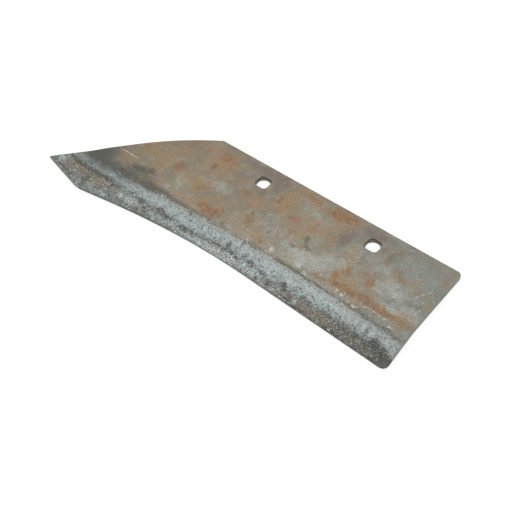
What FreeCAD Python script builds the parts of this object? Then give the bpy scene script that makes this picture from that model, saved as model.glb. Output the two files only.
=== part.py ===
import FreeCAD, Part
import math
import os

# Plough share, one forged steel plate. The flat back bolts down on the plough body
# through two square-over-round holes. The front is bent down, then bevelled into the
# cutting edge, which sweeps out to a nose and a pointed landside corner. The bend and
# the bevel both fade out towards the point.
#
# Frame: X runs along the straight rear edge towards the square wing end, -Y points to
# the cutting edge, Z stands out of the top face. The origin lies midway between the
# two bolt holes, on the underside that seats on the plough body. Millimetres, degrees.

# --- plate and bolt holes
plate_t = 5.0
hole_pitch = 140.0
hole_across = 15.0
hole_corner_r = 4.2
hole_square_depth = 3.0
hole_exit_dia = 14.8
rear_margin = 22.6

# --- outline seen from above
wing_x = 156.0
wing_corner_r = 5.0
heel_corner_r = 6.5
heel_y = -102.2
heel_deg = 1.2
sweep_x = -105.0
sweep_deg = 11.8
sweep_r = 800.0
nose_x = -230.0
nose_deg = 10.5
nose_r = 30.0
point_x = -287.4
point_r = 0.8
flare_x = -249.5
flare_y = -74.5
flare_r = 300.0
shoulder_x = -192.4
shoulder_y = -9.2
shoulder_r = 340.0
rear_corner_x = -146.5
rear_corner_r = 5.0

# --- forged strip along the front: values at the heel, and what is left at the point
top_bend_y = -66.0
top_bend_r = 40.0
under_bend_y = -60.0
under_bend_r = 45.0
edge_low = 10.4
edge_low_point = 0.7
edge_t = 3.0
edge_t_point = 2.2
crease_low = 8.0
crease_low_point = 1.6
bevel_width = 10.0
bevel_width_point = 20.0
fade_x = -75.0
join_back = 12.0
trim_over = 0.6


def along(start, x, climb_deg):
    """Point at station x on the line through start that climbs climb_deg towards +X."""
    return (x, start[1] + (x - start[0]) * math.tan(math.radians(climb_deg)))


def rounded_outline(corners):
    """Closed wire through (x, y, r) corners, each corner turned with its radius."""
    n = len(corners)
    points = [FreeCAD.Vector(x, y, 0) for x, y, r in corners]
    arcs = []
    for i in range(n):
        corner = points[i]
        back = (points[i - 1] - corner).normalize()
        ahead = (points[(i + 1) % n] - corner).normalize()
        half = back.getAngle(ahead) / 2
        r = corners[i][2]
        tangent = r / math.tan(half)
        inward = (back + ahead).normalize()
        middle = corner + inward * (r / math.sin(half) - r)
        arcs.append((corner + back * tangent, middle, corner + ahead * tangent))
    edges = []
    for i in range(n):
        edges.append(Part.Arc(*arcs[i]).toShape())
        edges.append(Part.makeLine(arcs[i][2], arcs[(i + 1) % n][0]))
    return Part.Wire(edges)


def share_outline():
    """Sheared outline: square wing end, heel, swept edge, nose, point and landside."""
    heel = (wing_x, heel_y)
    sweep = along(heel, sweep_x, -heel_deg)
    nose = along(sweep, nose_x, sweep_deg)
    point = along(nose, point_x, -nose_deg)
    return rounded_outline([
        (wing_x, rear_margin, wing_corner_r),
        (*heel, heel_corner_r),
        (*sweep, sweep_r),
        (*nose, nose_r),
        (*point, point_r),
        (flare_x, flare_y, flare_r),
        (shoulder_x, shoulder_y, shoulder_r),
        (rear_corner_x, rear_margin, rear_corner_r),
    ])


def front_y(plan, x):
    """Y of the cutting edge, or of the nose, at station x."""
    reach = 400.0
    probe = Part.makeLine(FreeCAD.Vector(x, -reach, 0), FreeCAD.Vector(x, reach, 0))
    return plan.common(probe).BoundBox.YMin


def bend(knee, end, radius):
    """Arc that turns from level into the slope knee-end, as (start, middle, finish)."""
    slope = math.atan2(knee[1] - end[1], knee[0] - end[0])
    tangent = radius * math.tan(slope / 2)
    start = (knee[0] + tangent, knee[1])
    half = slope / 2
    middle = (start[0] - radius * math.sin(half), knee[1] - radius * (1 - math.cos(half)))
    finish = (knee[0] - tangent * math.cos(slope), knee[1] - tangent * math.sin(slope))
    return start, middle, finish


def faded(heel_value, point_value, x):
    """Heel value up to fade_x, then easing over to the point's value."""
    share = max(0.0, (fade_x - x) / (fade_x - point_x))
    return heel_value + (point_value - heel_value) * share * share


def strip_section(x, edge_y):
    """Section of the strip at x: level, bend, slope, bevel, blunt edge, and back under."""
    low = faded(edge_low, edge_low_point, x)
    thick = faded(edge_t, edge_t_point, x)
    crease_z = plate_t - faded(crease_low, crease_low_point, x)
    crease_y = edge_y + faded(bevel_width, bevel_width_point, x)
    lip_low = (edge_y - trim_over, -low)
    lip_high = (edge_y - trim_over, thick - low)
    crease = (crease_y, crease_z)
    top = bend((top_bend_y, plate_t), crease, top_bend_r)
    under = bend((under_bend_y, 0.0), lip_low, under_bend_r)
    join_top = (top_bend_y + join_back, plate_t)
    join_under = (under_bend_y + join_back, 0.0)

    def at(p):
        return FreeCAD.Vector(x, p[0], p[1])

    def line(p, q):
        return Part.makeLine(at(p), at(q))

    return Part.Wire([
        line(join_top, top[0]),
        Part.Arc(at(top[0]), at(top[1]), at(top[2])).toShape(),
        line(top[2], crease),
        line(crease, lip_high),
        line(lip_high, lip_low),
        line(lip_low, under[2]),
        Part.Arc(at(under[2]), at(under[1]), at(under[0])).toShape(),
        line(under[0], join_under),
        line(join_under, join_top),
    ])


def forged_strip(plan):
    """The forged front of the bar, lofted from beyond the point to past the wing end."""
    first = point_x + 2.0
    last = wing_x - heel_corner_r
    stations = [first, -268.0, -250.0, -236.0, -224.0, -206.0, -180.0, -150.0, -115.0,
                fade_x, -30.0, 30.0, 90.0, last]
    sections = [strip_section(x, front_y(plan, x)) for x in stations]
    before = sections[0].copy()
    before.translate(FreeCAD.Vector(-12.0, 0, 0))
    after = sections[-1].copy()
    after.translate(FreeCAD.Vector(2 * heel_corner_r, 0, 0))
    return Part.makeLoft([before] + sections + [after], True, False)


def flat_bar():
    """Full-thickness bar behind the strip; its front face meets the strip's back."""
    behind = rear_margin + 5.0
    corners = [
        (behind, 0.0),
        (behind, plate_t),
        (top_bend_y + join_back, plate_t),
        (under_bend_y + join_back, 0.0),
    ]
    start = point_x - 10.0
    points = [FreeCAD.Vector(start, y, z) for y, z in corners]
    face = Part.Face(Part.makePolygon(points + [points[0]]))
    return face.extrude(FreeCAD.Vector(wing_x + 6.0 - start, 0, 0))


def bolt_hole(x):
    """Rounded square sunk from the top, round the rest of the way to the underside."""
    half = hole_across / 2
    square = rounded_outline([
        (x - half, half, hole_corner_r),
        (x + half, half, hole_corner_r),
        (x + half, -half, hole_corner_r),
        (x - half, -half, hole_corner_r),
    ])
    square.translate(FreeCAD.Vector(0, 0, plate_t - hole_square_depth))
    neck = Part.Face(square).extrude(FreeCAD.Vector(0, 0, hole_square_depth + 1))
    below = FreeCAD.Vector(x, 0, -1)
    shank = Part.makeCylinder(hole_exit_dia / 2, plate_t + 1, below)
    return neck.fuse(shank)


def plough_share():
    plan = Part.Face(share_outline())
    bar = flat_bar().fuse(forged_strip(plan))
    depth = 2 * edge_low
    plan.translate(FreeCAD.Vector(0, 0, -depth))
    blank = bar.common(plan.extrude(FreeCAD.Vector(0, 0, depth + 2 * plate_t)))
    for x in (-hole_pitch / 2, hole_pitch / 2):
        blank = blank.cut(bolt_hole(x))
    return blank.removeSplitter()


share = plough_share()
if len(share.Solids) != 1:
    raise ValueError("the share came out as %d solids" % len(share.Solids))
os.makedirs("parts", exist_ok=True)
share.Solids[0].exportStep("parts/plough_share.step")
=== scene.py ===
import math

import bmesh
import bpy
import numpy as np
from mathutils import Matrix, Vector, noise


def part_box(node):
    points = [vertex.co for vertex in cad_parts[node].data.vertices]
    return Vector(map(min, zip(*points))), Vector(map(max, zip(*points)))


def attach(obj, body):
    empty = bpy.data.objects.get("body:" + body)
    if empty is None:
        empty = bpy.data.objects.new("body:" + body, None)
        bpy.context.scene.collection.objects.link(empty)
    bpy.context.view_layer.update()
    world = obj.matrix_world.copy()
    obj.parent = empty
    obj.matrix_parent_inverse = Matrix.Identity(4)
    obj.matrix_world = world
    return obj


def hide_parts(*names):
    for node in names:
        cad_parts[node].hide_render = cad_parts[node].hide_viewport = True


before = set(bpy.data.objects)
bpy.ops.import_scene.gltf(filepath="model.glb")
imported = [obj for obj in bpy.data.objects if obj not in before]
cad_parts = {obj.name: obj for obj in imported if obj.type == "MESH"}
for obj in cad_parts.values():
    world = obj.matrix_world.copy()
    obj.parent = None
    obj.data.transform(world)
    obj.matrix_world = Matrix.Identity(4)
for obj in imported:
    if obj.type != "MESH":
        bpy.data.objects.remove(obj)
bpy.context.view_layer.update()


# =====================================================================================
# The share. One steel plate, sheared to outline, punched for two plough bolts, and
# forged hot along the front: the strip is hammered down and drawn out into the cutting
# edge. It is left as forged, with scale, soot and a first film of storage rust.
# =====================================================================================

# --- shape: the plate with its rims eased, cut finely enough to take hammer marks
mm = 0.001
rim_ease = 0.5 * mm
cell_along = 1.2 * mm
cell_plate = 1.4 * mm
cell_strip = 0.95 * mm
cell_under = 4.0 * mm
strip_starts = -62 * mm

share_low, share_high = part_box("plough_share")
blank = bmesh.new()
blank.from_mesh(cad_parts["plough_share"].data)
bmesh.ops.remove_doubles(blank, verts=blank.verts, dist=1e-6)
bmesh.ops.dissolve_limit(
    blank, angle_limit=math.radians(0.4), verts=blank.verts, edges=blank.edges
)
bmesh.ops.dissolve_degenerate(blank, dist=0.25 * mm, edges=blank.edges)
ledge_z = 2 * mm
rims = []
for edge in blank.edges:
    on_ledge = all(abs(v.co.z - ledge_z) < 0.1 * mm for v in edge.verts)
    in_hole = all(abs(abs(v.co.x) - 70 * mm) < 9 * mm and abs(v.co.y) < 9 * mm for v in edge.verts)
    if edge.calc_face_angle(0) > math.radians(50) and not (on_ledge and in_hole):
        rims.append(edge)
bmesh.ops.bevel(
    blank,
    geom=rims,
    offset=rim_ease,
    segments=2,
    profile=0.6,
    affect="EDGES",
    clamp_overlap=False,
)
bmesh.ops.triangulate(blank, faces=[f for f in blank.faces if len(f.verts) > 4])


def cut_evenly(plate, faces, axis, stations):
    """Cuts the faces at every station along an axis, halving the work each time."""
    if not stations or not faces:
        return
    middle = len(stations) // 2
    at = stations[middle]
    across = Vector((axis == 0, axis == 1, 0))
    parts = set(faces)
    for face in faces:
        parts.update(face.edges)
        parts.update(face.verts)
    cut = bmesh.ops.bisect_plane(
        plate, geom=list(parts), dist=1e-7, plane_co=across * at, plane_no=across
    )
    made = [g for g in cut["geom"] if isinstance(g, bmesh.types.BMFace)]
    below = [f for f in made if f.calc_center_median()[axis] < at]
    above = [f for f in made if f.calc_center_median()[axis] >= at]
    cut_evenly(plate, below, axis, stations[:middle])
    cut_evenly(plate, above, axis, stations[middle + 1:])


def stations(start, stop, step):
    """Even stations between two places."""
    return [float(at) for at in np.arange(start + step / 2, stop, step)]


low_x, low_y = share_low.x, share_low.y
high_x, high_y = share_high.x, share_high.y
cut_evenly(blank, list(blank.faces), 0, stations(low_x, high_x, cell_along))
upper = [f for f in blank.faces if f.normal.z > 0.3]
strip_rows = stations(low_y, strip_starts, cell_strip)
plate_rows = stations(strip_starts, high_y, cell_plate)
cut_evenly(blank, upper, 1, strip_rows + plate_rows)
under = [f for f in blank.faces if f.normal.z < -0.3]
cut_evenly(blank, under, 1, stations(low_y, high_y, cell_under))
for face in blank.faces:
    face.smooth = True
share_mesh = bpy.data.meshes.new("forged_share")
blank.to_mesh(share_mesh)
blank.free()
share = bpy.data.objects.new("forged_share", share_mesh)
bpy.context.scene.collection.objects.link(share)

# --- where the forging ends, what the storage left and where shade is painted, worked out once for every point
count = len(share_mesh.vertices)
place = np.zeros(count * 3, np.float32)
share_mesh.vertices.foreach_get("co", place)
place = place.reshape(-1, 3).astype(float) / mm
facing = np.zeros(count * 3, np.float32)
share_mesh.vertices.foreach_get("normal", facing)
facing = facing.reshape(-1, 3)
on_top = np.clip((facing[:, 2] - 0.3) / 0.4, 0, 1)
wander = np.array([
    4.2 * noise.noise_vector(Vector(p) / 13) + 1.6 * noise.noise_vector(Vector(p) / 4)
    for p in place
])
x_at = place[:, 0] + wander[:, 0]


def eased(value, start, stop):
    """0 before start, 1 after stop, and smooth between them."""
    share_of_way = np.clip((value - start) / (stop - start), 0, 1)
    return share_of_way * share_of_way * (3 - 2 * share_of_way)


def patches(spots, soft=0.55, waver=1.0):
    """How strongly each point is covered by spots: (x, y, half length, half width, how much)."""
    cover = np.zeros(count)
    for x, y, long, wide, much in spots:
        x_away = place[:, 0] + waver * wander[:, 0] - x
        y_away = place[:, 1] + waver * wander[:, 1] - y
        away = np.hypot(x_away / long, y_away / wide)
        cover = np.maximum(cover, much * (1 - eased(away, 1 - soft, 1 + soft)))
    return cover * on_top


def through(x, steps):
    """Value at x on a line through (x, value) steps."""
    return np.interp(x, [s[0] for s in steps], [s[1] for s in steps])


# the strip is read from the bend (0) through the crease (1) and on to the cutting edge
bend_line = through(place[:, 0], [
    (-250, -84), (-200, -82), (-160, -79), (-130, -76), (-90, -73.5), (-40, -72), (10, -71),
    (100, -72), (118, -73.5), (156, -75.5),
])
crease_line = through(place[:, 0], [(-260, -96), (-130, -95.5), (-95, -94.5), (-60, -90), (156, -90)])
edge_stations = np.arange(low_x / mm, high_x / mm, 3)
edge_line = [place[abs(place[:, 0] - x) < 3, 1].min() for x in edge_stations]
edge_line = np.interp(place[:, 0], edge_stations, edge_line)
above_bend = place[:, 1] - bend_line + 0.3 * wander[:, 1]
forge = -above_bend / (bend_line - crease_line)
lip = (crease_line - place[:, 1] + 0.4 * wander[:, 1]) / (crease_line - edge_line)
worked = eased(forge, -0.35, 0.15) * on_top
rugged = (0.55 * worked + 0.9 * eased(forge, 0.7, 1.05)) * on_top
thick = through(x_at, [(-260, 0.5), (-200, 0.7), (-150, 0.6), (-100, 0.9), (-60, 1.0), (0, 0.8), (156, 0.9)])
pitting = thick * through(forge, [(-0.15, 0), (0.0, 0.1), (0.3, 0.3), (0.55, 0.5), (0.8, 0.8), (1.0, 0.9), (1.3, 0.6)])
# painted shade: a dark band painted just above the bend, reaching further up the plate towards the point
shade_reach = through(place[:, 0], [
    (-250, 14), (-200, 12), (-160, 9), (-130, 8), (-110, 5), (-95, 3), (-50, 2), (0, 3), (10, 3.5),
    (60, 2.5), (90, 3.5), (105, 6), (156, 8),
])
shade_much = through(x_at, [
    (-250, 0.5), (-190, 0.8), (-150, 0.85), (-110, 0.8), (-95, 0.6), (-75, 0.45), (-60, 0.25),
    (-35, 0.3), (-22, 0.6), (-10, 0.35), (2, 0.4), (9, 1.0), (45, 0.9), (62, 0.75), (75, 0.45),
    (95, 0.7), (108, 0.6), (156, 0.45),
])
bend_shade = shade_much * (1 - eased(above_bend, 0, shade_reach)) * eased(above_bend, -2.2, -0.4) * on_top

film_spots = [
    (-120, -5, 20, 18, 0.9), (-185, -35, 26, 20, 0.6), (-125, -42, 18, 12, 0.7), (-92, -58, 22, 12, 0.7),
    (-30, -4, 14, 20, 0.9), (2, -18, 22, 10, 0.6), (32, -4, 18, 18, 0.7), (25, 12, 24, 10, 0.9),
    (-55, -27, 16, 9, 0.6), (-48, -52, 9, 12, 0.5), (66, -45, 7, 14, 0.8), (88, -57, 30, 9, 0.9),
    (95, -38, 14, 10, 0.6), (125, -58, 34, 7, 0.9), (-212, -60, 14, 7, 0.6), (-165, -66, 12, 4, 0.4),
    (-12, 12, 26, 8, 0.7), (94, 2, 5, 14, 0.4), (116, -15, 8, 8, 0.4), (5, -34, 12, 10, 0.6),
    (-150, 6, 14, 10, 0.6), (-170, -6, 8, 12, 0.5), (-25, -58, 16, 7, 0.5), (62, -22, 8, 8, 0.5),
]
rust_spots = [
    (-122, 5, 10, 7, 0.7), (-136, 9, 7, 4, 0.4), (-97, -21, 3, 4, 0.8), (-73, -23, 7, 4, 0.8),
    (-72, -30, 4, 3, 0.5), (-41, -7, 3.5, 7, 1.0), (-45, -15, 5, 4, 0.5), (-119, -46, 5, 5, 0.7),
    (-94, -63, 8, 4, 0.9), (-85, -66, 8, 7, 1.0), (-78, -57, 2.5, 3, 1.0), (-73, -64, 4, 4, 0.6),
    (-47, -49, 4, 5, 0.8), (-60, -41, 3, 2.5, 0.6), (-12, -20, 9, 3.5, 0.7), (-12, 13, 11, 4, 0.6),
    (-28, -12, 3, 3, 0.6), (22, 11, 13, 6, 0.95), (36, 14, 5, 4, 0.6), (12, -18, 2, 8, 0.5),
    (59, -25, 2.5, 4, 0.6), (93, -39, 4, 5, 1.0), (86, -33, 5, 4, 0.5), (105, -46, 5, 3, 0.4),
    (69, -41, 4, 6, 0.7), (64, -52, 3, 7, 0.7), (73, -59, 9, 3.5, 1.0), (86, -60, 9, 4, 0.8),
    (103, -59, 13, 4.5, 0.75), (124, -60, 16, 4.5, 0.6), (146, -61, 8, 5, 0.4), (116, -19, 4, 4, 0.6),
    (98, 7, 3, 4, 0.6), (54, -63, 6, 3, 0.7), (-168, -4, 5, 7, 0.4), (-158, -37, 8, 8, 0.75),
    (-150, 4, 4, 2.5, 0.6), (-176, -48, 4, 3, 0.5), (-222, -66, 7, 5, 0.25), (-205, -38, 7, 4, 0.4),
    (-3, -32, 4, 8, 0.4), (47, -62, 4, 3, 0.5), (-22, -62, 6, 4, 0.4), (-45, -57, 3, 4, 0.5),
]
blush_spots = [
    (-107, -39, 2.6, 2.6, 0.9), (-115, -31, 2.4, 4.5, 0.5), (-57, -30, 6, 2.5, 0.5), (-168, -15, 4, 2.5, 0.6),
    (80, -17, 2.2, 3, 0.5), (70, -18, 2.5, 1.6, 0.5), (125, -12, 4, 3, 0.4), (143, -52, 12, 4, 0.5),
    (-160, -67, 8, 4, 0.35), (-227, -60, 6, 4, 0.35), (66, -64, 6, 3, 0.5), (76, -60, 3, 2, 0.7),
    (-20, -7, 9, 4, 0.3), (-95, -66, 3, 3, 0.5),
]
plum_spots = [
    (-70, 14, 34, 9, 0.9), (-62, -12, 14, 7, 0.5), (-100, -8, 12, 10, 0.4), (66, 13, 26, 8, 0.8),
    (46, -8, 9, 11, 0.9), (50, 3, 13, 6, 0.6), (94, -2, 4, 12, 0.7), (-165, -2, 12, 7, 0.5),
    (-50, -33, 12, 5, 0.35), (-130, 19, 20, 4, 0.4), (20, 20, 30, 3.5, 0.5), (-52, 5, 9, 12, 0.7),
    (-86, 2, 6, 12, 0.5), (60, 2, 5, 10, 0.5), (82, 2, 5, 10, 0.5),
]
pale_spots = [
    (30, -54, 26, 9, 1.0), (58, -36, 14, 12, 0.5), (116, -34, 18, 12, 0.75), (6, -60, 14, 7, 0.6),
    (2, -2, 16, 7, 0.4), (-100, -33, 11, 8, 0.6), (142, -45, 12, 7, 0.85), (-30, -38, 14, 12, 0.4),
    (45, -45, 16, 10, 0.7), (96, -22, 16, 6, 0.4), (-8, -48, 16, 9, 0.5), (60, -20, 12, 8, 0.4),
    (-142, -58, 10, 14, 0.4), (-60, -56, 9, 8, 0.3), (135, -52, 18, 5, 0.9), (20, -38, 10, 8, 0.4),
]
olive_spots = [
    (15, -33, 3.2, 3.4, 0.9), (17, -37.5, 2.4, 2.4, 0.9), (20, -42, 3, 2.6, 0.9), (24, -43.5, 2.8, 2.4, 0.9),
    (-49, -40.5, 2.6, 2.8, 0.7), (-21, -50, 2.8, 3.4, 0.6), (10, -49, 3, 2.4, 0.8), (-127, -14, 3.4, 4.6, 0.9),
    (133, -27, 5, 4, 0.4), (147, -36, 3, 4, 0.5), (122, -43, 7, 2, 0.4), (-94, -12, 1.5, 5, 0.5),
    (-69, -77, 3, 2, 0.5), (115, -20, 3, 3, 0.3),
]
soot_spots = [
    (-247, -72, 24, 17, 1.0), (-234, -81, 26, 7, 0.9), (-205, -79, 30, 8, 0.75), (-186, -72, 26, 10, 0.6),
    (-189, -66, 12, 5.5, 0.9), (-175, -62, 8, 4, 0.8), (-165, -76, 26, 6, 0.6), (-153, -74, 20, 5, 0.5),
    (-237, -57, 11, 9, 0.75), (-154, -54, 8, 5, 0.3), (-20, -69, 7, 2, 0.5), (-64, -70, 4, 3, 0.4),
]
# on the strip: dark blotches of painted shade, bared steel, dried scale, and where the pitting is thickest
painted_shade_spots = [
    (-261, -96.5, 6, 2.2, 0.8), (-249, -97.5, 9, 3, 1), (-235.5, -97.5, 8, 2.6, 0.9),
    (-221.5, -96.5, 10, 3.4, 0.8), (-207, -95.5, 9, 3.4, 0.8), (-196.5, -98, 7, 2.4, 0.7),
    (-226, -100.5, 6, 2, 0.6), (-191, -94, 7, 3, 0.45), (-268.5, -95.5, 4, 2.5, 0.6),
    (-263, -113, 9, 2, 0.6), (-248.5, -114, 6, 2, 0.4), (-229, -109, 5, 3.5, 0.75),
    (-226.5, -113.5, 3, 3, 0.6), (-209.5, -108.5, 6, 2, 0.5), (-196.5, -108, 6, 2, 0.4),
    (-170, -93.5, 5, 2.5, 0.5), (-157.5, -95, 8, 3, 0.6), (-150, -99.5, 2.5, 1.5, 0.9),
    (-130.5, -92, 9, 3.4, 0.75), (-119, -93.5, 7, 2.2, 0.6), (-141.5, -94, 6, 2.4, 0.5),
    (-113.5, -91, 5, 1.6, 0.4), (-98.5, -94, 5.5, 2.8, 0.85), (-86, -92, 7, 1.6, 0.6),
    (-74, -92, 4, 1.4, 0.4), (-158, -106.5, 12, 2, 0.5), (-141, -106, 10, 2, 0.5),
    (-177.5, -108, 8, 3, 0.4), (-57, -89, 6, 1.2, 0.8), (-63, -87.5, 3, 1.4, 0.5),
    (-44, -84, 2.6, 4, 0.85), (-45, -89, 4, 1.4, 0.5), (-37, -88, 5, 1.4, 0.7),
    (-29.5, -90.5, 4.5, 1.4, 0.7), (-32, -74.5, 2, 2.4, 0.6), (-22, -85, 4, 2, 0.5),
    (-12.5, -87, 8, 2, 0.6), (-13, -90.5, 3, 1, 0.7), (4, -88, 5, 2.4, 0.55), (1, -96, 3, 2.6, 0.5),
    (15, -93, 4, 3.2, 0.5), (29.5, -87.5, 4, 2.6, 0.9), (31.5, -91, 3, 2, 0.7),
    (39.5, -92.5, 4, 2, 0.5), (38.5, -97.5, 6, 1.4, 0.8), (42.5, -87, 3, 2.4, 0.5),
    (56.5, -88, 8, 2.2, 0.5), (62, -91, 5, 1.4, 0.5), (82, -89.5, 9, 2.2, 0.55),
    (101, -91.5, 8, 2.4, 0.6), (115, -91.5, 7, 3, 0.6), (134.5, -88.5, 5.5, 4.4, 0.95),
    (143.5, -92.5, 7, 5, 0.95), (148, -97.5, 4, 4, 0.8), (131, -95.5, 6, 4, 0.45),
    (95.5, -99.5, 12, 1.2, 1), (54.5, -99.5, 12, 1.2, 0.7), (122, -82, 2.5, 7, 0.35),
    (127.5, -91.5, 5, 3, 0.5), (117, -74.5, 6, 1.6, 0.4), (135.5, -72.5, 6, 2, 0.5),
    (146, -74.5, 4, 2, 0.4),
]
bared_spots = [
    (-272.5, -104.5, 4.5, 3.4, 0.9), (-249, -88.5, 12, 3.4, 0.5), (-167.5, -101.5, 9, 4, 0.75),
    (-182, -102, 5, 3.4, 0.6), (-202, -112.5, 9, 2, 0.45), (-220, -112.5, 8, 2, 0.3),
    (-137, -99.5, 6, 2, 0.55), (-124.5, -98.5, 7, 2.8, 0.7), (-111, -96.5, 7, 3, 0.8),
    (-103.5, -98, 6, 2, 0.7), (-89.5, -97.5, 9, 2, 0.7), (-73, -95.5, 8, 2.8, 0.85),
    (-59, -95, 14, 3.4, 1), (-43, -95.5, 12, 3.2, 1), (-30.5, -96, 5, 2.4, 0.9),
    (-17.5, -92.5, 9, 3.6, 0.7), (-6.5, -93.5, 7, 3.6, 0.7), (5, -92, 5, 2.2, 0.4),
    (9, -97.5, 5, 1.6, 0.7), (21.5, -96.5, 4, 2, 0.6), (15.5, -89.5, 5, 1.6, 0.6),
    (48, -95.5, 2.4, 2.6, 0.75), (35, -93.5, 6, 2.4, 0.3), (69, -91.5, 4, 1.2, 0.5),
]
tanned_spots = [
    (-257.5, -103, 9, 4, 0.8), (-244, -103.5, 10, 3.6, 0.8), (-226, -103.5, 10, 3, 0.75),
    (-210.5, -103.5, 9, 3, 0.75), (-197, -102.5, 6, 2.4, 0.6), (-259.5, -108.5, 10, 2.6, 0.7),
    (-240.5, -107.5, 8, 2, 0.4), (-165.5, -97, 8, 2, 0.4), (-148.5, -102, 9, 3, 0.7),
    (-142, -96.5, 6, 1.8, 0.5), (-159.5, -104, 5, 1.6, 0.5), (-128, -95, 5, 1.6, 0.4),
    (-89.5, -93.5, 7, 2.2, 0.6), (-99.5, -78, 7, 2, 0.5), (-75.5, -90.5, 7, 1.6, 0.6),
    (-43, -89, 12, 1.6, 0.6), (-24, -93.5, 4, 3.4, 0.7), (0, -96.5, 5, 2.4, 0.6),
    (15, -93.5, 7, 3.4, 0.8), (33, -95, 7, 2, 0.6), (41.5, -94, 5, 2.4, 0.5),
    (59.5, -95.5, 10, 3.4, 0.8), (77.5, -95.5, 12, 3.4, 0.8), (97, -95.5, 10, 3, 0.55),
    (114.5, -95.5, 10, 3, 0.3), (55, -97, 20, 1.6, 0.5),
]
rough_spots = [
    (-98.5, -81, 22, 7, 0.9), (-64, -82.5, 20, 7, 1), (-33.5, -81.5, 14, 6, 0.8),
    (-15.5, -83.5, 16, 4, 0.9), (12.5, -84.5, 18, 5, 0.9), (47, -85, 20, 5, 0.95),
    (77.5, -85.5, 20, 5, 0.9), (110, -84.5, 18, 6, 0.8), (135.5, -83, 12, 6, 0.5),
    (-134.5, -88.5, 16, 5, 0.6), (-164, -89, 16, 5, 0.6), (-198.5, -90.5, 14, 5, 0.5),
    (-231, -93, 14, 4, 0.5), (-126, -93.5, 14, 4, 0.5), (-11.5, -73.5, 8, 2.4, 0.5),
    (-152.5, -78.5, 12, 3, 0.4), (25, -92.5, 14, 4, 0.6), (86.5, -92, 24, 2, 0.5),
]
# the walls of the bolt holes, which are painted near black as shade
hole_places = [(-70, 0), (70, 0)]
hole_walls_shaded = np.zeros(count)
for hole_x, hole_y in hole_places:
    inside = np.maximum(abs(place[:, 0] - hole_x), abs(place[:, 1] - hole_y)) < 7.7
    hole_walls_shaded = np.where(inside & (facing[:, 2] < 0.6), 1.0, hole_walls_shaded)

marks = {
    "forge": np.clip(forge, -1, 3),
    "lip": np.clip(lip, -1, 2),
    "worked": worked,
    "rugged": rugged,
    "pitting": np.maximum(pitting * on_top, patches(rough_spots, 0.7, 0.4)),
    "bend_shade": bend_shade,
    "film": patches(film_spots, 0.9),
    "rust": patches(rust_spots, 0.6),
    "blush": patches(blush_spots),
    "plum": patches(plum_spots, 0.8),
    "pale": patches(pale_spots, 0.9),
    "olive": patches(olive_spots, 0.3, 0.15),
    "soot": patches(soot_spots, 0.9, 0.6),
    "painted_shade": patches(painted_shade_spots, 0.6, 0.3),
    "bared": patches(bared_spots, 0.5, 0.3),
    "tanned": patches(tanned_spots, 0.6, 0.3),
    "hole_walls_shaded": hole_walls_shaded,
}
for name, values in marks.items():
    layer = share_mesh.attributes.new(name, "FLOAT", "POINT")
    layer.data.foreach_set("value", values.astype(np.float32))

# --- hammer marks and pits, as a rule that follows the worked strip
hammer_depth = 0.32 * mm
hammer_size = 14 * mm
grain_depth = 0.16 * mm
grain_size = 3.2 * mm
pit_depth = 0.4 * mm
pit_size = 4.2 * mm


def add(tree, kind, inputs=None, **settings):
    """A new node in a tree, with its settings made and its inputs joined or filled."""
    made = tree.nodes.new(kind)
    for name, value in settings.items():
        setattr(made, name, value)
    for socket, value in (inputs or {}).items():
        if isinstance(value, bpy.types.NodeSocket):
            tree.links.new(value, made.inputs[socket])
        else:
            made.inputs[socket].default_value = value
    return made


def reckon(tree, operation, *values):
    """The result of one sum on one to three values."""
    return add(tree, "ShaderNodeMath", dict(enumerate(values)), operation=operation).outputs[0]


def ramped(tree, value, start, stop, low=0.0, high=1.0):
    """Value carried smoothly from start..stop to low..high, and held beyond them."""
    inputs = {"Value": value, "From Min": start, "From Max": stop, "To Min": low, "To Max": high}
    node = add(tree, "ShaderNodeMapRange", inputs, interpolation_type="SMOOTHSTEP")
    return node.outputs["Result"]


def open_tree(name, kind, takes, gives):
    """A new node tree with named inputs and outputs, as (tree, its inputs, its output node)."""
    tree = bpy.data.node_groups.new(name, kind)
    for label, socket, *value in takes:
        made = tree.interface.new_socket(label, in_out="INPUT", socket_type=socket)
        if value:
            made.default_value = value[0]
    for label, socket in gives:
        tree.interface.new_socket(label, in_out="OUTPUT", socket_type=socket)
    entry = tree.nodes.new("NodeGroupInput")
    leave = tree.nodes.new("NodeGroupOutput")
    return tree, entry.outputs, leave


def set_inputs(modifier, values):
    """Gives a modifier's inputs their values by the names of the inputs."""
    for item in modifier.node_group.interface.items_tree:
        if item.item_type == "SOCKET" and item.in_out == "INPUT" and item.name in values:
            modifier[item.identifier] = values[item.name]


relief, given, done = open_tree(
    "forged_relief",
    "GeometryNodeTree",
    [
        ("Geometry", "NodeSocketGeometry"),
        ("Hammer Depth", "NodeSocketFloat"),
        ("Hammer Size", "NodeSocketFloat", 0.01),
        ("Grain Depth", "NodeSocketFloat"),
        ("Grain Size", "NodeSocketFloat", 0.01),
        ("Pit Depth", "NodeSocketFloat"),
        ("Pit Size", "NodeSocketFloat", 0.01),
        ("Seed", "NodeSocketFloat", 0.0),
        ("Finish", "NodeSocketMaterial"),
    ],
    [("Geometry", "NodeSocketGeometry")],
)
spot = add(relief, "GeometryNodeInputPosition").outputs[0]
outward = add(relief, "GeometryNodeInputNormal").outputs[0]


def mark(tree, name):
    """One of the share's own marks, read in a geometry tree."""
    node = add(tree, "GeometryNodeInputNamedAttribute", {"Name": name}, data_type="FLOAT")
    return node.outputs["Attribute"]


def rolling(tree, at, size, depth, seed, detail):
    """Soft unevenness of a given size and depth, either side of zero."""
    inputs = {
        "Vector": at,
        "W": seed,
        "Scale": reckon(tree, "DIVIDE", 1.0, size),
        "Detail": detail,
        "Roughness": 0.5,
    }
    wave = add(tree, "ShaderNodeTexNoise", inputs, noise_dimensions="4D").outputs[0]
    return reckon(tree, "MULTIPLY", reckon(tree, "SUBTRACT", wave, 0.5), depth)


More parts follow.
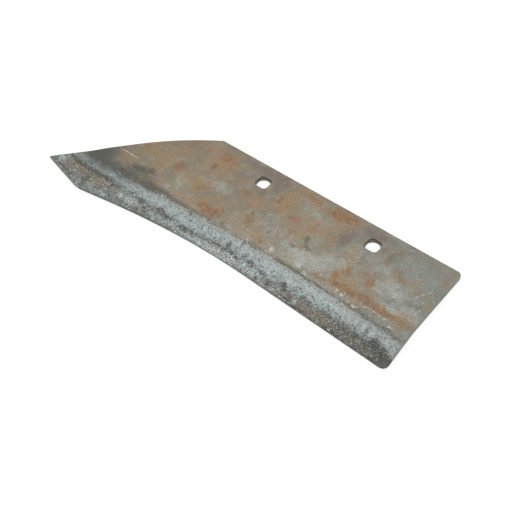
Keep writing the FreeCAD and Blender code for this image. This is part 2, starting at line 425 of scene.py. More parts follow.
worked_here = mark(relief, "rugged")
struck = rolling(relief, spot, given["Hammer Size"], given["Hammer Depth"], given["Seed"], 1.0)
rough = rolling(relief, spot, given["Grain Size"], given["Grain Depth"], given["Seed"], 2.0)
lumpy = reckon(relief, "ADD", struck, rough)
much = ramped(relief, worked_here, 0.0, 1.0, 0.12, 1.6)
lumpy = reckon(relief, "MULTIPLY", lumpy, much)
cells = add(
    relief,
    "ShaderNodeTexVoronoi",
    {"Vector": spot, "Scale": reckon(relief, "DIVIDE", 1.0, given["Pit Size"])},
)
chance = add(relief, "ShaderNodeSeparateXYZ", {0: cells.outputs["Color"]}).outputs[0]
hollow = ramped(relief, cells.outputs["Distance"], 0.1, 0.42, 1.0, 0.0)
hollow = reckon(relief, "MULTIPLY", hollow, ramped(relief, chance, 0.35, 0.6))
hollow = reckon(relief, "MULTIPLY", hollow, mark(relief, "pitting"))
hollow = reckon(relief, "MULTIPLY", hollow, given["Pit Depth"])
lift = reckon(relief, "SUBTRACT", lumpy, hollow)
shift = add(relief, "ShaderNodeVectorMath", {0: outward, "Scale": lift}, operation="SCALE")
moved = add(
    relief,
    "GeometryNodeSetPosition",
    {"Geometry": given["Geometry"], "Offset": shift.outputs[0]},
).outputs[0]
whole = add(relief, "GeometryNodeRealizeInstances", {0: moved}).outputs[0]
dressed = add(
    relief, "GeometryNodeSetMaterial", {"Geometry": whole, "Material": given["Finish"]}
).outputs[0]
relief.links.new(dressed, done.inputs[0])


def settle(piece, name):
    """Turns a piece's geometry tree into its plain mesh."""
    bpy.context.view_layer.update()
    ready = piece.evaluated_get(bpy.context.evaluated_depsgraph_get())
    plain = bpy.data.meshes.new_from_object(ready)
    plain.name = name
    piece.modifiers.clear()
    piece.data = plain
    for face in plain.polygons:
        face.use_smooth = True


# --- steel: shared effects first, then the share's own finish
def shade(red, green, blue):
    """A paint-chart colour, 0 to 255, as the shaders take it."""
    return (*[(c / 255 / 12.92) if c < 10.3 else ((c / 255 + 0.055) / 1.055) ** 2.4
              for c in (red, green, blue)], 1.0)


def effect(name, takes, gives):
    """A shader effect with named inputs and outputs."""
    return open_tree(name, "ShaderNodeTree", takes, gives)


def use(tree, group, inputs):
    """The first output of an effect placed in a tree."""
    node = add(tree, "ShaderNodeGroup", node_tree=group)
    for socket, value in inputs.items():
        if isinstance(value, bpy.types.NodeSocket):
            tree.links.new(value, node.inputs[socket])
        else:
            node.inputs[socket].default_value = value
    return node.outputs[0]


mottle, given, done = effect(
    "mottle",
    [
        ("Place", "NodeSocketVector"),
        ("Size", "NodeSocketFloat", 0.01),
        ("Detail", "NodeSocketFloat", 2.0),
        ("Seed", "NodeSocketFloat", 0.0),
        ("Swirl", "NodeSocketFloat", 0.0),
        ("From", "NodeSocketFloat", 0.3),
        ("To", "NodeSocketFloat", 0.7),
    ],
    [("Mask", "NodeSocketFloat")],
)
inputs = {
    "Vector": given["Place"],
    "Scale": reckon(mottle, "DIVIDE", 0.8, given["Size"]),
    "Detail": 1.0,
}
drift = add(mottle, "ShaderNodeTexNoise", inputs).outputs["Color"]
drift = add(mottle, "ShaderNodeVectorMath", {0: drift, 1: (0.5, 0.5, 0.5)}, operation="SUBTRACT").outputs[0]
drift = add(mottle, "ShaderNodeVectorMath", {0: drift, "Scale": given["Swirl"]}, operation="SCALE").outputs[0]
drifted = add(mottle, "ShaderNodeVectorMath", {0: given["Place"], 1: drift}).outputs[0]
inputs = {
    "Vector": drifted,
    "W": given["Seed"],
    "Scale": reckon(mottle, "DIVIDE", 1.0, given["Size"]),
    "Detail": given["Detail"],
    "Roughness": 0.6,
}
cloud = add(mottle, "ShaderNodeTexNoise", inputs, noise_dimensions="4D").outputs[0]
mottle.links.new(ramped(mottle, cloud, given["From"], given["To"]), done.inputs[0])

ragged, given, done = effect(
    "ragged_edge",
    [
        ("Place", "NodeSocketVector"),
        ("Cover", "NodeSocketFloat", 0.0),
        ("Size", "NodeSocketFloat", 0.003),
        ("Break Up", "NodeSocketFloat", 0.5),
        ("From", "NodeSocketFloat", 0.2),
        ("To", "NodeSocketFloat", 0.8),
    ],
    [("Mask", "NodeSocketFloat")],
)
inputs = {
    "Place": given["Place"],
    "Size": given["Size"],
    "Detail": 3.0,
    "From": 0.25,
    "To": 0.75,
}
torn = reckon(ragged, "SUBTRACT", use(ragged, mottle, inputs), 0.5)
torn = reckon(ragged, "MULTIPLY", torn, given["Break Up"])
torn = reckon(ragged, "MULTIPLY", torn, ramped(ragged, given["Cover"], 0.0, 0.15))
torn = reckon(ragged, "ADD", torn, given["Cover"])
ragged.links.new(ramped(ragged, torn, given["From"], given["To"]), done.inputs[0])

pitted, given, done = effect(
    "pits",
    [
        ("Place", "NodeSocketVector"),
        ("Size", "NodeSocketFloat", 0.003),
        ("Share", "NodeSocketFloat", 0.5),
    ],
    [("Mask", "NodeSocketFloat")],
)
cells = add(
    pitted,
    "ShaderNodeTexVoronoi",
    {"Vector": given["Place"], "Scale": reckon(pitted, "DIVIDE", 1.0, given["Size"])},
)
chance = add(pitted, "ShaderNodeSeparateColor", {0: cells.outputs["Color"]}).outputs[0]
struck = reckon(pitted, "LESS_THAN", chance, given["Share"])
hollow = ramped(pitted, cells.outputs["Distance"], 0.12, 0.45, 1.0, 0.0)
pitted.links.new(reckon(pitted, "MULTIPLY", hollow, struck), done.inputs[0])

scratch, given, done = effect(
    "scratch",
    [
        ("Place", "NodeSocketVector"),
        ("Middle", "NodeSocketVector"),
        ("Turn", "NodeSocketFloat", 0.0),
        ("Half Length", "NodeSocketFloat", 0.005),
        ("Half Width", "NodeSocketFloat", 0.0004),
        ("Strength", "NodeSocketFloat", 0.5),
    ],
    [("Mask", "NodeSocketFloat")],
)
centred = add(
    scratch, "ShaderNodeVectorMath", {0: given["Place"], 1: given["Middle"]}, operation="SUBTRACT"
).outputs[0]
turned = add(
    scratch,
    "ShaderNodeVectorRotate",
    {"Vector": centred, "Angle": reckon(scratch, "MULTIPLY", given["Turn"], -1.0)},
    rotation_type="Z_AXIS",
).outputs[0]
lanes = add(scratch, "ShaderNodeSeparateXYZ", {0: turned}).outputs
past_end = reckon(scratch, "DIVIDE", reckon(scratch, "ABSOLUTE", lanes[0]), given["Half Length"])
past_side = reckon(scratch, "DIVIDE", reckon(scratch, "ABSOLUTE", lanes[1]), given["Half Width"])
line = reckon(
    scratch, "MULTIPLY", ramped(scratch, past_end, 0.7, 1.0, 1, 0), ramped(scratch, past_side, 0.4, 1.0, 1, 0)
)
inputs = {"Place": given["Place"], "Size": 0.0025, "Detail": 2.0, "From": 0.35, "To": 0.6}
line = reckon(scratch, "MULTIPLY", line, use(scratch, mottle, inputs))
scratch.links.new(reckon(scratch, "MULTIPLY", line, given["Strength"]), done.inputs[0])


def over(tree, amount, lower, upper, way="MIX"):
    """Upper colour laid over the lower one by an amount."""
    node = add(tree, "ShaderNodeMix", {0: amount, 6: lower, 7: upper}, data_type="RGBA", blend_type=way)
    return node.outputs[2]


def ladder(tree, value, steps):
    """Colour that goes through (value, colour) steps."""
    node = add(tree, "ShaderNodeValToRGB", {0: value})
    while len(node.color_ramp.elements) < len(steps):
        node.color_ramp.elements.new(0.5)
    for element, (at, colour) in zip(node.color_ramp.elements, steps):
        element.position = at
        element.color = colour
    return node.outputs[0]


finish = bpy.data.materials.new("forged_steel")
finish.use_nodes = True
tree = finish.node_tree
tree.nodes.clear()
spot = add(tree, "ShaderNodeTexCoord").outputs["Object"]
along = add(tree, "ShaderNodeSeparateXYZ", {0: spot}).outputs[0]
along = add(
    tree, "ShaderNodeMapRange", {"Value": along, "From Min": -0.29, "From Max": 0.16}
).outputs[0]
left = {
    name: add(tree, "ShaderNodeAttribute", attribute_name=name).outputs["Fac"] for name in marks
}


def cloudy(size, seed, start=0.35, stop=0.65, detail=3.0, swirl=0.0):
    """A mottle mask on this piece."""
    inputs = {
        "Place": spot,
        "Size": size,
        "Detail": detail,
        "Seed": seed,
        "Swirl": swirl,
        "From": start,
        "To": stop,
    }
    return use(tree, mottle, inputs)


def broken(name, size, amount, start, stop):
    """One of the share's marks with its edge broken up."""
    inputs = {"Place": spot, "Cover": left[name], "Size": size, "Break Up": amount, "From": start, "To": stop}
    return use(tree, ragged, inputs)


def laid(amount, much, lower, upper):
    """Upper colour laid over the lower one, by a mask times how much."""
    return over(tree, reckon(tree, "MULTIPLY", amount, much), lower, upper)


# scale on the flat: brown towards the point, grey-green at the wing
flat = ladder(tree, along, [
    (0.0, shade(112, 105, 92)),
    (0.16, shade(120, 109, 91)),
    (0.4, shade(132, 122, 104)),
    (0.62, shade(140, 132, 115)),
    (0.8, shade(142, 140, 128)),
    (0.93, shade(132, 138, 131)),
])
flat = laid(cloudy(22 * mm, 1.0, 0.35, 0.65, 3.0, 14 * mm), 0.5, flat, shade(114, 108, 96))
flat = laid(cloudy(12 * mm, 2.0, 0.45, 0.7, 3.0, 12 * mm), 0.5, flat, shade(148, 122, 88))
flat = laid(cloudy(10 * mm, 3.0, 0.5, 0.75, 3.0, 10 * mm), 0.55, flat, shade(146, 150, 141))
flat = laid(broken("film", 9 * mm, 0.7, 0.1, 1.0), 0.68, flat, shade(150, 120, 82))
flat = laid(broken("pale", 7 * mm, 0.6, 0.1, 1.0), 0.75, flat, shade(166, 168, 159))
flat = laid(broken("plum", 7 * mm, 0.5, 0.1, 1.0), 0.75, flat, shade(110, 99, 94))
rust_tone = ladder(tree, cloudy(4 * mm, 4.0), [
    (0.0, shade(118, 94, 72)),
    (0.5, shade(144, 108, 76)),
    (1.0, shade(160, 114, 72)),
])
rusted = broken("rust", 4.5 * mm, 0.75, 0.0, 1.1)
flat = laid(rusted, 0.8, flat, rust_tone)
flat = laid(broken("blush", 3 * mm, 0.5, 0.1, 1.0), 0.7, flat, shade(164, 116, 100))
tide = reckon(tree, "ABSOLUTE", reckon(tree, "SUBTRACT", cloudy(26 * mm, 11.0, 0.0, 1.0, 2.0, 22 * mm), 0.5))
tide = reckon(tree, "MULTIPLY", ramped(tree, tide, 0.0, 0.03, 1, 0), cloudy(18 * mm, 12.0, 0.45, 0.65))
flat = laid(tide, 0.3, flat, shade(98, 88, 76))
spotted = broken("olive", 2.2 * mm, 0.25, 0.2, 0.8)
flat = laid(spotted, 0.65, flat, shade(98, 88, 70))

# bare blue-grey steel of the strip, and what lies in and below its crease, with painted shade at the bend and along the
# crease
band = ladder(tree, along, [
    (0.0, shade(100, 109, 111)),
    (0.17, shade(112, 118, 118)),
    (0.3, shade(132, 141, 141)),
    (0.5, shade(136, 145, 144)),
    (0.75, shade(142, 150, 149)),
    (1.0, shade(138, 144, 143)),
])
# painted shade: the band darker just below the bend
band = laid(ramped(tree, left["forge"], 0.5, 0.1), 0.4, band, shade(122, 124, 120))
band = laid(cloudy(5 * mm, 5.0, 0.42, 0.62), 0.5, band, shade(112, 117, 113))
band = laid(cloudy(3 * mm, 18.0, 0.55, 0.7), 0.5, band, shade(152, 160, 160))
lip_inner = ladder(tree, along, [
    (0.03, shade(118, 128, 128)),
    (0.07, shade(114, 107, 96)),
    (0.2, shade(116, 107, 96)),
    (0.25, shade(110, 116, 112)),
    (0.36, shade(106, 110, 105)),
    (0.43, shade(104, 102, 92)),
    (0.48, shade(154, 161, 159)),
    (0.62, shade(152, 159, 156)),
    (0.68, shade(132, 133, 128)),
    (0.85, shade(110, 105, 97)),
    (0.95, shade(86, 84, 80)),
    (1.0, shade(72, 71, 68)),
])
lip_outer = ladder(tree, along, [
    (0.04, shade(100, 100, 94)),
    (0.12, shade(96, 102, 99)),
    (0.24, shade(104, 111, 109)),
    (0.38, shade(100, 106, 103)),
    (0.5, shade(138, 144, 141)),
    (0.6, shade(128, 131, 127)),
    (0.7, shade(112, 110, 104)),
    (0.85, shade(96, 92, 86)),
    (1.0, shade(76, 75, 72)),
])
lip_in = reckon(tree, "ADD", left["lip"], reckon(tree, "MULTIPLY", reckon(tree, "SUBTRACT", cloudy(7 * mm, 10.0, 0.2, 0.8), 0.5), 0.5))
lips = over(tree, ramped(tree, lip_in, 0.35, 0.7), lip_inner, lip_outer)
lips = laid(cloudy(6 * mm, 6.0, 0.45, 0.65), 0.5, lips, shade(92, 87, 78))
lips = laid(cloudy(5 * mm, 13.0, 0.52, 0.68), 0.5, lips, shade(142, 148, 145))
wave_wide = reckon(tree, "SUBTRACT", cloudy(7 * mm, 7.0, 0.2, 0.8), 0.5)
wave_fine = reckon(tree, "SUBTRACT", cloudy(2 * mm, 8.0, 0.2, 0.8), 0.5)
wavering = reckon(tree, "ADD", left["forge"], reckon(tree, "MULTIPLY", wave_wide, 0.12))
wavering = reckon(tree, "ADD", wavering, reckon(tree, "MULTIPLY", wave_fine, 0.3))
on_band = ramped(tree, wavering, -0.08, 0.24)
crease_wave = reckon(tree, "ADD", wavering, reckon(tree, "MULTIPLY", wave_wide, 0.2))
on_lip = ramped(tree, crease_wave, 0.95, 1.15)
colour = over(tree, on_band, flat, band)
# painted shade: the strip darkens towards the crease, and a dark line is painted along the crease itself
colour = laid(ramped(tree, crease_wave, 0.45, 0.95), 0.35, colour, shade(104, 110, 108))
colour = over(tree, on_lip, colour, lips)
crease_shade = reckon(tree, "MULTIPLY", ramped(tree, crease_wave, 0.8, 1.0), ramped(tree, crease_wave, 1.0, 1.25, 1, 0))
crease_shade = reckon(tree, "MULTIPLY", crease_shade, cloudy(12 * mm, 14.0, 0.3, 0.6))
colour = laid(crease_shade, 0.35, colour, shade(64, 63, 58))
colour = laid(broken("tanned", 2.4 * mm, 0.8, 0.1, 0.9), 0.8, colour, shade(104, 96, 85))
colour = laid(broken("bared", 2.4 * mm, 0.8, 0.1, 0.8), 0.75, colour, shade(142, 151, 149))
# dark blotches on the strip: painted shade
painted_shaded = broken("painted_shade", 2 * mm, 0.9, 0.1, 0.8)
colour = laid(painted_shaded, 0.85, colour, shade(60, 61, 57))
# painted shade along the bend, laid into the colour
bend_shaded = broken("bend_shade", 2.4 * mm, 0.8, 0.05, 0.95)
colour = laid(bend_shaded, 0.75, colour, shade(76, 73, 67))
sooty = broken("soot", 6 * mm, 0.3, 0.0, 1.0)
colour = laid(sooty, 0.9, colour, shade(72, 75, 71))

# pits: small and thick below the band, with a few larger ones
fine_share = reckon(tree, "MULTIPLY", left["pitting"], 0.95)
fine_pits = use(tree, pitted, {"Place": spot, "Size": 1.9 * mm, "Share": fine_share})
large_share = reckon(tree, "MULTIPLY", left["pitting"], 0.35)
large_pits = use(tree, pitted, {"Place": spot, "Size": 3.0 * mm, "Share": large_share})
pits = reckon(tree, "MAXIMUM", fine_pits, large_pits)
colour = laid(pits, 0.8, colour, shade(48, 49, 46))
fleck_share = reckon(tree, "MULTIPLY", left["rugged"], 0.22)
flecks = use(tree, pitted, {"Place": spot, "Size": 2.3 * mm, "Share": fleck_share})
colour = laid(flecks, 0.5, colour, shade(178, 182, 178))

# grain of the scale, slight on the flat and strong on the strip
grain = cloudy(1.3 * mm, 9.0, 0.3, 0.7)
amount = reckon(tree, "MAXIMUM", ramped(tree, along, 0.3, 0.75, 0.24, 0.55), ramped(tree, left["rugged"], 0, 1.2))
grain_tone = ladder(tree, grain, [(0.0, (0.5, 0.5, 0.5, 1)), (1.0, (1.45, 1.45, 1.45, 1))])
colour = over(tree, amount, colour, over(tree, 1.0, colour, grain_tone, "MULTIPLY"))
# painted shade: the bolt holes' walls near black
colour = laid(left["hole_walls_shaded"], 0.9, colour, shade(30, 28, 26))

scratches = [
    (-216, -55.8, 0, 16, 0.55, 1.0), (-193, -26, 0, 9, 0.45, 0.5), (-33, -61, 0, 30, 0.4, 0.4),
    (-36, -47, 88, 13, 0.4, 0.3), (-17.5, -41, 100, 3.6, 0.5, 0.9), (141, -21, 59, 10.5, 0.5, 0.9),
    (118, -54, -55, 6.5, 0.4, 0.5), (104, 17, 0, 2.6, 0.7, 1.0), (123, 7, 5, 3.2, 0.45, 0.6),
    (148, -38, 110, 1.8, 0.8, 1.0), (121, -38, 95, 3.2, 1.1, 0.5), (-115, -60, 0, 15, 0.4, 0.25),
]
bright = None
for x, y, turn_deg, half_long, half_wide, strength in scratches:
    inputs = {
        "Place": spot,
        "Middle": (x * mm, y * mm, 0),
        "Turn": math.radians(turn_deg),
        "Half Length": half_long * mm,
        "Half Width": half_wide * mm,
        "Strength": strength,
    }
    one = use(tree, scratch, inputs)
    bright = one if bright is None else reckon(tree, "MAXIMUM", bright, one)
colour = over(tree, bright, colour, shade(205, 203, 192))

bare = reckon(tree, "MULTIPLY", on_band, reckon(tree, "SUBTRACT", 1.0, pits))
covered = reckon(tree, "MAXIMUM", reckon(tree, "MAXIMUM", rusted, sooty), left["hole_walls_shaded"])
metal = ramped(tree, bare, 0.0, 1.0, 0.3, 0.6)
metal = reckon(tree, "MULTIPLY", metal, reckon(tree, "SUBTRACT", 1.0, covered))
rough = ramped(tree, bare, 0.0, 1.0, 0.56, 0.46)
rough = reckon(tree, "ADD", rough, reckon(tree, "MULTIPLY", covered, 0.2))
height = reckon(tree, "ADD", reckon(tree, "MULTIPLY", grain, amount), reckon(tree, "MULTIPLY", pits, -1.2))
height = reckon(tree, "ADD", height, reckon(tree, "MULTIPLY", rusted, 0.15))
bump = add(tree, "ShaderNodeBump", {"Height": height, "Distance": 0.16 * mm, "Strength": 0.8})
principled = add(
    tree,
    "ShaderNodeBsdfPrincipled",
    {"Base Color": colour, "Metallic": metal, "Roughness": rough, "Normal": bump.outputs[0]},
)
surface = add(tree, "ShaderNodeOutputMaterial", {"Surface": principled.outputs[0]})

forging = share.modifiers.new("forged_relief", "NODES")
forging.node_group = relief
set_inputs(forging, {
    "Hammer Depth": hammer_depth,
    "Hammer Size": hammer_size,
    "Grain Depth": grain_depth,
    "Grain Size": grain_size,
    "Pit Depth": pit_depth,
    "Pit Size": pit_size,
    "Seed": 3.0,
    "Finish": finish,
})
settle(share, "forged_share")
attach(share, "root")
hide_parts("plough_share")


# =====================================================================================
# Crusts and crumbs. Thin flakes of pale scale, a few with a burst middle, and grit that
# the hammer left along the bend and on the lip. All of it is fused to the plate.
# =====================================================================================
crust_thick = 0.4 * mm
ring_height = 0.5 * mm
crumb_least = 0.25 * mm
crumb_most = 0.75 * mm
crumbs_per_area = 220000.0

crust_finish = bpy.data.materials.new("pale_scale")
crust_finish.use_nodes = True
tree = crust_finish.node_tree
tree.nodes.clear()
spot = add(tree, "ShaderNodeTexCoord").outputs["Object"]
speckle = use(tree, mottle, {"Place": spot, "Size": 1.4 * mm, "Detail": 2.0, "Seed": 21.0})
chalk = ladder(tree, speckle, [
    (0.0, shade(140, 137, 125)),
    (0.5, shade(180, 178, 168)),
    (1.0, shade(216, 215, 209)),
])
bump = add(tree, "ShaderNodeBump", {"Height": speckle, "Distance": 0.1 * mm, "Strength": 0.6})
inputs = {"Base Color": chalk, "Roughness": 0.7, "Metallic": 0.1, "Normal": bump.outputs[0]}
principled = add(tree, "ShaderNodeBsdfPrincipled", inputs)
add(tree, "ShaderNodeOutputMaterial", {"Surface": principled.outputs[0]})

# x, y, half length, half width, turn in degrees; a ring has its last figure 1
crusts = [
    (29.2, -64.4, 2.5, 2.6, 0, 1), (38.3, -68, 2.1, 2.1, 0, 1), (18.8, -65, 1.8, 1.6, 0, 0),
    (1, -73, 1.3, 1.2, 0, 1), (-4, -72.6, 1.2, 1.1, 0, 1), (31, -66, 1.6, 2.2, 30, 0),
    (40, -68.5, 1.0, 1.6, 10, 0), (-5, -64, 2.6, 2.2, 30, 0), (-3.5, -67, 1.8, 2.4, -20, 0),
    (-7, -69.5, 2.4, 0.7, 10, 0), (75, -66.3, 1.3, 2.0, 5, 0), (82, -67.4, 1.8, 2.0, 20, 0),
    (84, -64, 0.9, 1.2, 0, 0), (91, -66, 1.3, 0.8, 0, 0), (90.5, -69, 0.8, 1.0, 0, 0),
    (97.5, -70.6, 2.6, 1.3, -15, 0), (101, -69.8, 1.2, 1.0, 0, 0), (107, -65, 2.4, 0.8, 12, 0),
    (112, -64.2, 3.0, 0.8, 4, 0), (118, -64.6, 3.2, 0.7, -4, 0), (123, -65, 2.0, 0.7, -6, 0),
    (128, -65.6, 1.6, 1.7, -40, 0), (136, -69.6, 2.4, 1.3, 15, 0), (139, -69, 1.3, 0.9, 0, 0),
    (-58, -69, 2.2, 0.6, 5, 0), (-62, -68, 0.7, 1.0, 0, 0), (-32, -68.6, 0.9, 1.4, 20, 0),
    (-30, -71.5, 0.9, 0.7, 0, 0), (53, -60.5, 0.9, 0.7, 0, 0), (51, -62, 0.7, 0.9, 0, 0),
    (148, -38, 0.8, 1.2, 20, 0), (146, -29, 0.7, 0.7, 0, 0), (-143, -77.5, 1.4, 1.4, 0, 0),
    (-139, -77, 1.2, 1.0, 30, 0), (-152, -78, 0.8, 0.8, 0, 0), (-185, -81, 0.9, 0.7, 0, 0),
    (-203, -83, 1.8, 0.7, 10, 0), (-233, -86, 0.8, 0.7, 0, 0), (-265, -114.5, 1.2, 0.9, 20, 0),
    (-223, -107, 1.0, 0.7, 0, 0), (-69.5, -56, 0.6, 1.2, 25, 0), (92, -99.5, 1.4, 1.0, 30, 0),
    (17, -66.5, 0.9, 0.7, 0, 0), (10, -66.8, 0.8, 0.6, 0, 0), (60, -68, 0.7, 0.6, 0, 0),
]
ground = share.data
skin = bmesh.new()
skin.from_mesh(ground)
from mathutils.bvhtree import BVHTree
surface_of_share = BVHTree.FromBMesh(skin)
skin.free()
spots = []
for x, y, *_ in crusts:
    hit, normal, *_ = surface_of_share.ray_cast(Vector((x * mm, y * mm, 0.05)), Vector((0, 0, -1)))
    spots.append((hit, normal))
crust_mesh = bpy.data.meshes.new("crust_places")
crust_mesh.from_pydata([tuple(hit) for hit, _ in spots], [], [])
for name, column, unit in [("long", 2, mm), ("wide", 3, mm), ("turn", 4, math.pi / 180), ("ring", 5, 1)]:
    layer = crust_mesh.attributes.new(name, "FLOAT", "POINT")
    layer.data.foreach_set("value", [c[column] * unit for c in crusts])
lean = crust_mesh.attributes.new("lean", "FLOAT_VECTOR", "POINT")
lean.data.foreach_set("vector", [v for _, normal in spots for v in normal])

crust_tree, given, done = open_tree(
    "fused_crusts",
    "GeometryNodeTree",
    [
        ("Geometry", "NodeSocketGeometry"),
        ("Thickness", "NodeSocketFloat"),
        ("Ring Height", "NodeSocketFloat"),
        ("Raggedness", "NodeSocketFloat"),
        ("Seed", "NodeSocketFloat", 0.0),
        ("Finish", "NodeSocketMaterial"),
    ],
    [("Geometry", "NodeSocketGeometry")],
)
places = add(crust_tree, "GeometryNodeMeshToPoints", {"Mesh": given["Geometry"]}).outputs[0]
upright = add(
    crust_tree, "GeometryNodeInputNamedAttribute", {"Name": "lean"}, data_type="FLOAT_VECTOR"
).outputs["Attribute"]
tipped = add(crust_tree, "FunctionNodeAlignRotationToVector", {"Vector": upright}, axis="Z").outputs[0]
spin = add(crust_tree, "FunctionNodeAxisAngleToRotation", {"Axis": (0, 0, 1), "Angle": mark(crust_tree, "turn")})
posed = add(
    crust_tree,
    "FunctionNodeRotateRotation",
    {"Rotation": tipped, "Rotate By": spin.outputs[0]},
    rotation_space="LOCAL",
).outputs[0]
is_ring = reckon(crust_tree, "GREATER_THAN", mark(crust_tree, "ring"), 0.5)
not_ring = reckon(crust_tree, "SUBTRACT", 1.0, is_ring)
flake = add(crust_tree, "GeometryNodeMeshIcoSphere", {"Radius": 1.0, "Subdivisions": 4}).outputs[0]
hoop = add(crust_tree, "GeometryNodeCurvePrimitiveCircle", {"Resolution": 40, "Radius": 0.68}).outputs[0]
bead = add(crust_tree, "GeometryNodeCurvePrimitiveCircle", {"Resolution": 12, "Radius": 0.36}).outputs[0]
ring = add(crust_tree, "GeometryNodeCurveToMesh", {"Curve": hoop, "Profile Curve": bead}).outputs[0]
long_half = mark(crust_tree, "long")
wide_half = mark(crust_tree, "wide")
flake_size = add(
    crust_tree, "ShaderNodeCombineXYZ", {0: long_half, 1: wide_half, 2: given["Thickness"]}
).outputs[0]
ring_size = add(
    crust_tree, "ShaderNodeCombineXYZ", {0: long_half, 1: wide_half, 2: given["Ring Height"]}
).outputs[0]
laid_flakes = add(crust_tree, "GeometryNodeInstanceOnPoints", {
    "Points": places, "Selection": not_ring, "Instance": flake, "Rotation": posed, "Scale": flake_size,
}).outputs[0]
laid_rings = add(crust_tree, "GeometryNodeInstanceOnPoints", {
    "Points": places, "Selection": is_ring, "Instance": ring, "Rotation": posed, "Scale": ring_size,
}).outputs[0]
joined = add(crust_tree, "GeometryNodeJoinGeometry")
crust_tree.links.new(laid_rings, joined.inputs[0])
crust_tree.links.new(laid_flakes, joined.inputs[0])
whole = add(crust_tree, "GeometryNodeRealizeInstances", {0: joined.outputs[0]}).outputs[0]
spot = add(crust_tree, "GeometryNodeInputPosition").outputs[0]
tear = add(crust_tree, "ShaderNodeTexNoise", {"Vector": spot, "Scale": 600.0, "Detail": 2.0}).outputs["Color"]
tear = add(crust_tree, "ShaderNodeVectorMath", {0: tear, 1: (0.5, 0.5, 0.5)}, operation="SUBTRACT").outputs[0]
loose = reckon(crust_tree, "MULTIPLY", ramped(crust_tree, mark(crust_tree, "ring"), 0, 1, 1, 0.3), given["Raggedness"])
tear = add(crust_tree, "ShaderNodeVectorMath", {0: tear, "Scale": loose}, operation="SCALE").outputs[0]
torn = add(crust_tree, "GeometryNodeSetPosition", {"Geometry": whole, "Offset": tear}).outputs[0]
dressed = add(crust_tree, "GeometryNodeSetMaterial", {"Geometry": torn, "Material": given["Finish"]})
crust_tree.links.new(dressed.outputs[0], done.inputs[0])

crust = bpy.data.objects.new("scale_crusts", crust_mesh)
bpy.context.scene.collection.objects.link(crust)
laying = crust.modifiers.new("fused_crusts", "NODES")
laying.node_group = crust_tree
set_inputs(laying, {
    "Thickness": crust_thick,
    "Ring Height": ring_height,
    "Raggedness": 1.6 * mm,
    "Finish": crust_finish,
})
settle(crust, "scale_crusts")
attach(crust, "root")

crumb_tree, given, done = open_tree(
    "hammer_grit",
    "GeometryNodeTree",
    [
        ("Geometry", "NodeSocketGeometry"),
        ("Per Area", "NodeSocketFloat"),
        ("Least", "NodeSocketFloat"),
        ("Most", "NodeSocketFloat"),
        ("Seed", "NodeSocketInt", 0),
        ("Finish", "NodeSocketMaterial"),
    ],
    [("Geometry", "NodeSocketGeometry")],
)
thick_here = reckon(crumb_tree, "MULTIPLY", mark(crumb_tree, "grit"), given["Per Area"])
strewn = add(
    crumb_tree,
    "GeometryNodeDistributePointsOnFaces",
    {"Mesh": given["Geometry"], "Density": thick_here, "Seed": given["Seed"]},
    distribute_method="RANDOM",
)
grain_shape = add(crumb_tree, "GeometryNodeMeshIcoSphere", {"Radius": 1.0, "Subdivisions": 1}).outputs[0]
broad = add(crumb_tree, "FunctionNodeRandomValue", {"Min": given["Least"], "Max": given["Most"], "Seed": given["Seed"]})
narrow = add(crumb_tree, "FunctionNodeRandomValue", {"Min": given["Least"], "Max": given["Most"], "Seed": 5})
crumb_size = add(crumb_tree, "ShaderNodeCombineXYZ", {
    0: broad.outputs["Value"],
    1: narrow.outputs["Value"],
    2: reckon(crumb_tree, "MULTIPLY", broad.outputs["Value"], 0.5),
}).outputs[0]
sat = add(crumb_tree, "GeometryNodeInstanceOnPoints", {
    "Points": strewn.outputs["Points"],
    "Instance": grain_shape,
    "Rotation": strewn.outputs["Rotation"],
    "Scale": crumb_size,
}).outputs[0]
whole = add(crumb_tree, "GeometryNodeRealizeInstances", {0: sat}).outputs[0]
dressed = add(crumb_tree, "GeometryNodeSetMaterial", {"Geometry": whole, "Material": given["Finish"]})
crumb_tree.links.new(dressed.outputs[0], done.inputs[0])

grit_finish = bpy.data.materials.new("scale_grit")
grit_finish.use_nodes = True
tree = grit_finish.node_tree
tree.nodes.clear()
spot = add(tree, "ShaderNodeTexCoord").outputs["Object"]
speckle = use(tree, mottle, {"Place": spot, "Size": 2.5 * mm, "Detail": 2.0, "Seed": 31.0, "From": 0.35, "To": 0.65})
grey = ladder(tree, speckle, [
    (0.0, shade(84, 81, 74)),
    (0.5, shade(128, 126, 118)),
    (1.0, shade(176, 178, 172)),
])
inputs = {"Base Color": grey, "Roughness": 0.6, "Metallic": 0.3}
principled = add(tree, "ShaderNodeBsdfPrincipled", inputs)
add(tree, "ShaderNodeOutputMaterial", {"Surface": principled.outputs[0]})

grit = bpy.data.objects.new("hammer_grit", share.data.copy())
bpy.context.scene.collection.objects.link(grit)
reading = np.zeros(len(grit.data.vertices), np.float32)
grit.data.attributes["forge"].data.foreach_get("value", reading)
worked_there = np.zeros(len(reading), np.float32)
grit.data.attributes["worked"].data.foreach_get("value", worked_there)
amount = np.interp(reading, [-0.4, -0.15, 0.0, 0.2, 0.5, 0.85, 1.0, 1.4], [0, 0.3, 1, 0.15, 0.08, 0.5, 1, 0.9])
layer = grit.data.attributes.new("grit", "FLOAT", "POINT")
layer.data.foreach_set("value", (amount * (worked_there > 0.05)).astype(np.float32))
strewing = grit.modifiers.new("hammer_grit", "NODES")
strewing.node_group = crumb_tree
set_inputs(strewing, {
    "Per Area": crumbs_per_area,
    "Least": crumb_least,
    "Most": crumb_most,
    "Seed": 7,
    "Finish": grit_finish,
})
settle(grit, "hammer_grit")
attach(grit, "root")


# =====================================================================================
# Studio. The share lies on a pale floor that touches its rear edge and its cutting
# edge, under one large soft light with a weaker one at the wing end.
# =====================================================================================
floor_half = 3.0
floor_slope = 0.084
floor_gap = 0.0003
rear_y = share_high.y

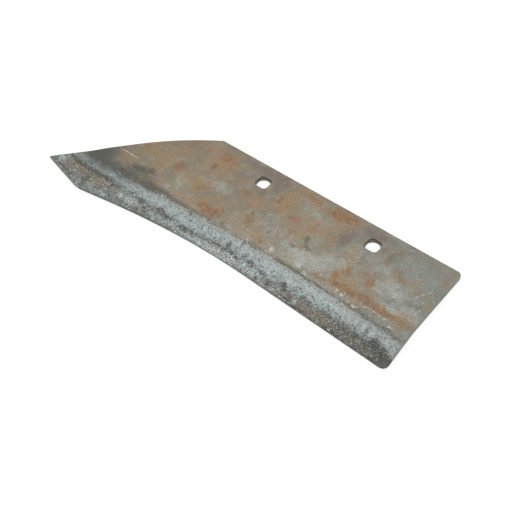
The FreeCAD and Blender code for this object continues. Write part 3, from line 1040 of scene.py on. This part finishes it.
floor_mesh = bpy.data.meshes.new("floor")
corners = []
for x, y in [(-1, -1), (1, -1), (1, 1), (-1, 1)]:
    y_there = y * floor_half
    corners.append((x * floor_half, y_there, (y_there - rear_y) * floor_slope - floor_gap))
floor_mesh.from_pydata(corners, [], [(0, 1, 2, 3)])
floor = bpy.data.objects.new("floor", floor_mesh)
bpy.context.scene.collection.objects.link(floor)

paint = bpy.data.materials.new("floor_paint")
paint.use_nodes = True
tree = paint.node_tree
tree.nodes.clear()
matt = add(tree, "ShaderNodeBsdfDiffuse", {"Color": (0.8, 0.8, 0.8, 1)}).outputs[0]
seen_matt = add(tree, "ShaderNodeBsdfDiffuse", {"Color": (0.2, 0.2, 0.2, 1)}).outputs[0]
seen_glow = add(tree, "ShaderNodeEmission", {"Color": (1, 1, 1, 1), "Strength": 0.88}).outputs[0]
seen = add(tree, "ShaderNodeAddShader", {0: seen_matt, 1: seen_glow}).outputs[0]
path = add(tree, "ShaderNodeLightPath").outputs
looked_at = reckon(tree, "MAXIMUM", path["Is Camera Ray"], path["Is Glossy Ray"])
looked_at = reckon(tree, "MAXIMUM", looked_at, path["Is Transmission Ray"])
both = add(tree, "ShaderNodeMixShader", {0: looked_at, 1: matt, 2: seen}).outputs[0]
add(tree, "ShaderNodeOutputMaterial", {"Surface": both})
floor_mesh.materials.append(paint)

air = bpy.data.worlds.new("air")
air.use_nodes = True
tree = air.node_tree
tree.nodes.clear()
path = add(tree, "ShaderNodeLightPath").outputs
looked_at = reckon(tree, "MAXIMUM", path["Is Camera Ray"], path["Is Glossy Ray"])
looked_at = reckon(tree, "MAXIMUM", looked_at, path["Is Transmission Ray"])
fill = add(tree, "ShaderNodeBackground", {"Color": (1, 1, 1, 1), "Strength": 0.5}).outputs[0]
backdrop = add(tree, "ShaderNodeBackground", {"Color": (1, 1, 1, 1), "Strength": 1.0}).outputs[0]
both = add(tree, "ShaderNodeMixShader", {0: looked_at, 1: fill, 2: backdrop}).outputs[0]
add(tree, "ShaderNodeOutputWorld", {"Surface": both})
bpy.context.scene.world = air


def soft_light(name, place, aim, long, wide, watts):
    """A rectangular soft light at a place, aimed at a point."""
    data = bpy.data.lights.new(name, "AREA")
    data.shape = "RECTANGLE"
    data.size = long
    data.size_y = wide
    data.energy = watts
    lamp = bpy.data.objects.new(name, data)
    bpy.context.scene.collection.objects.link(lamp)
    lamp.location = place
    lamp.rotation_mode = "QUATERNION"
    lamp.rotation_quaternion = (Vector(aim) - Vector(place)).to_track_quat("-Z", "Y")


middle = (share_low + share_high) / 2
soft_light("overhead", (-0.65, -0.15, 1.3), middle, 1.6, 1.4, 11)
soft_light("wing_side", (1.3, -0.3, 0.6), middle, 0.8, 0.6, 4)

# --- camera: above the wing end, looking down across the share
lens = bpy.data.cameras.new("camera")
lens.sensor_width = 36
lens.lens = 56.47
lens.clip_start = 0.01
camera = bpy.data.objects.new("camera", lens)
bpy.context.scene.collection.objects.link(camera)
camera_right = (0.75684, 0.65172, -0.04957)
camera_up = (-0.47634, 0.60192, 0.64093)
camera_back = (0.44755, -0.46147, 0.76599)
stand = Matrix((camera_right, camera_up, camera_back)).transposed().to_4x4()
stand.translation = (0.3352, -0.4388, 0.5992)
camera.matrix_world = stand
bpy.context.scene.camera = camera
bpy.context.scene.view_settings.view_transform = "Standard"
